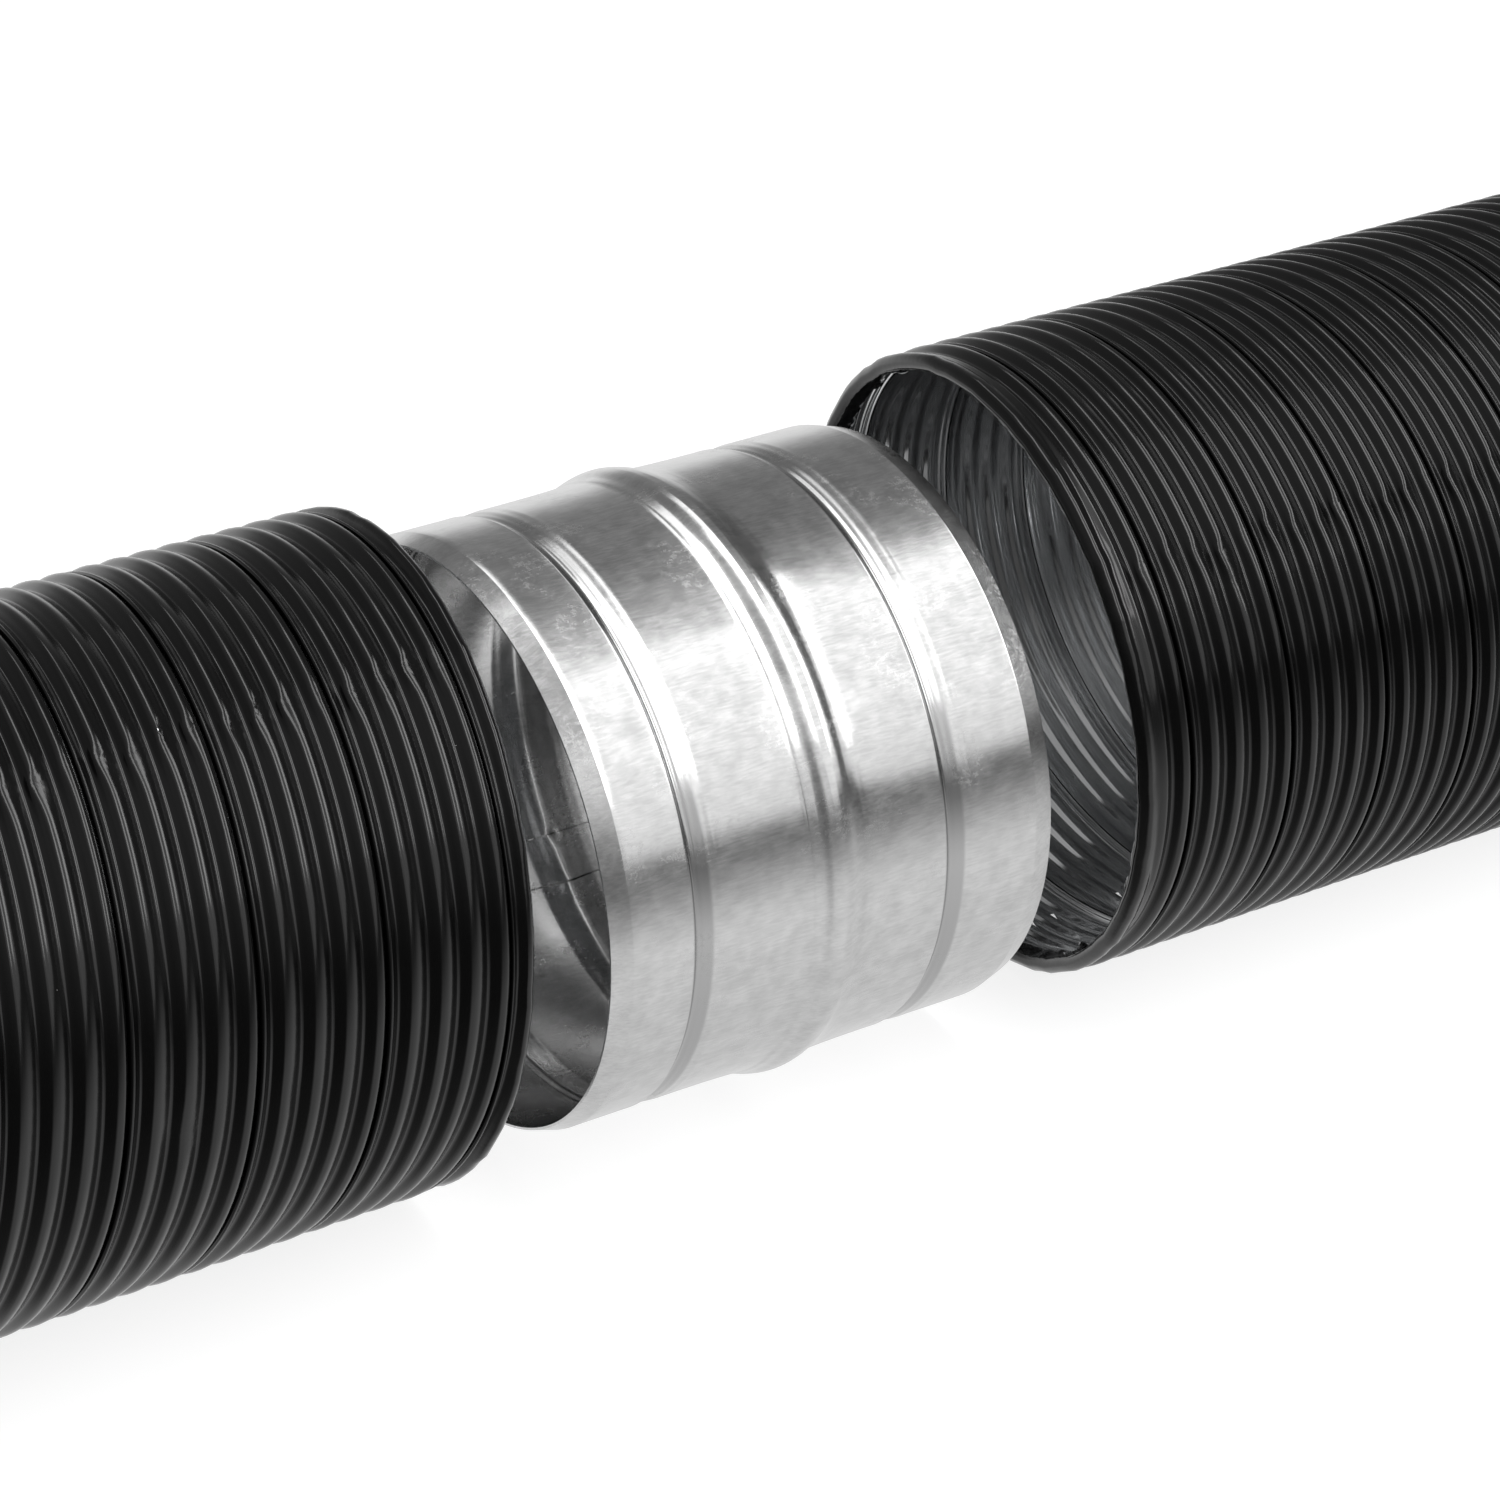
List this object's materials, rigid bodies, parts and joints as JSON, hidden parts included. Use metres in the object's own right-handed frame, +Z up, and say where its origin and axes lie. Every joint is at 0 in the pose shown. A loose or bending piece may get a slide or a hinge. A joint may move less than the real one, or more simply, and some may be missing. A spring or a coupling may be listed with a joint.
{
  "type": "flexible air duct",
  "caption": "Black ribbed foil air duct lying in line with the galvanised coupling that joins its lengths; the duct slides on, stretches and bends.",
  "frame": {"origin": "on the table, below the middle of the whole run", "axes": "+X along the run from the left duct to the right one, +Y to the back, +Z up"},
  "size_m": [0.8794, 0.165, 0.1645],
  "materials": {
    "galvanised_sheet": "satin",
    "black_lacquered_foil": "satin"
  },
  "bodies": {
    "left_mouth": {"left_mouth_length": "black_lacquered_foil", "left_stretch_zone": "black_lacquered_foil"},
    "left_middle": {"left_middle_length": "black_lacquered_foil", "left_bend_zone": "black_lacquered_foil"},
    "left_far": {"left_far_length": "black_lacquered_foil"},
    "coupling": {"coupling_shell": "galvanised_sheet"},
    "right_mouth": {"right_mouth_length": "black_lacquered_foil", "right_stretch_zone": "black_lacquered_foil"},
    "right_middle": {"right_middle_length": "black_lacquered_foil", "right_bend_zone": "black_lacquered_foil"},
    "right_far": {"right_far_length": "black_lacquered_foil"}
  },
  "joints": [
    {"name": "coupling_push", "type": "slide", "parent": "left_mouth", "child": "coupling", "axis": [-0.9967, 0, 0.0817], "range_m": [0, 0.0745]},
    {"name": "right_duct_push", "type": "slide", "parent": "coupling", "child": "right_mouth", "axis": [-0.9967, 0, -0.0817], "range_m": [0, 0.0805]},
    {"name": "left_stretch", "type": "slide", "parent": "left_mouth", "child": "left_middle", "axis": [-1, 0, 0], "range_m": [-0.012, 0.017], "deforming": ["left_stretch_zone"]},
    {"name": "left_bend", "type": "hinge", "parent": "left_middle", "child": "left_far", "pos_m": [-0.3104, 0, 0.082], "axis": [0, 0, 1], "range_deg": [-28, 28], "deforming": ["left_bend_zone"]},
    {"name": "right_stretch", "type": "slide", "parent": "right_mouth", "child": "right_middle", "axis": [1, 0, 0], "range_m": [-0.012, 0.017], "deforming": ["right_stretch_zone"]},
    {"name": "right_bend", "type": "hinge", "parent": "right_middle", "child": "right_far", "pos_m": [0.3104, 0, 0.082], "axis": [0, -1, 0], "range_deg": [0, 28], "deforming": ["right_bend_zone"]}
  ]
}
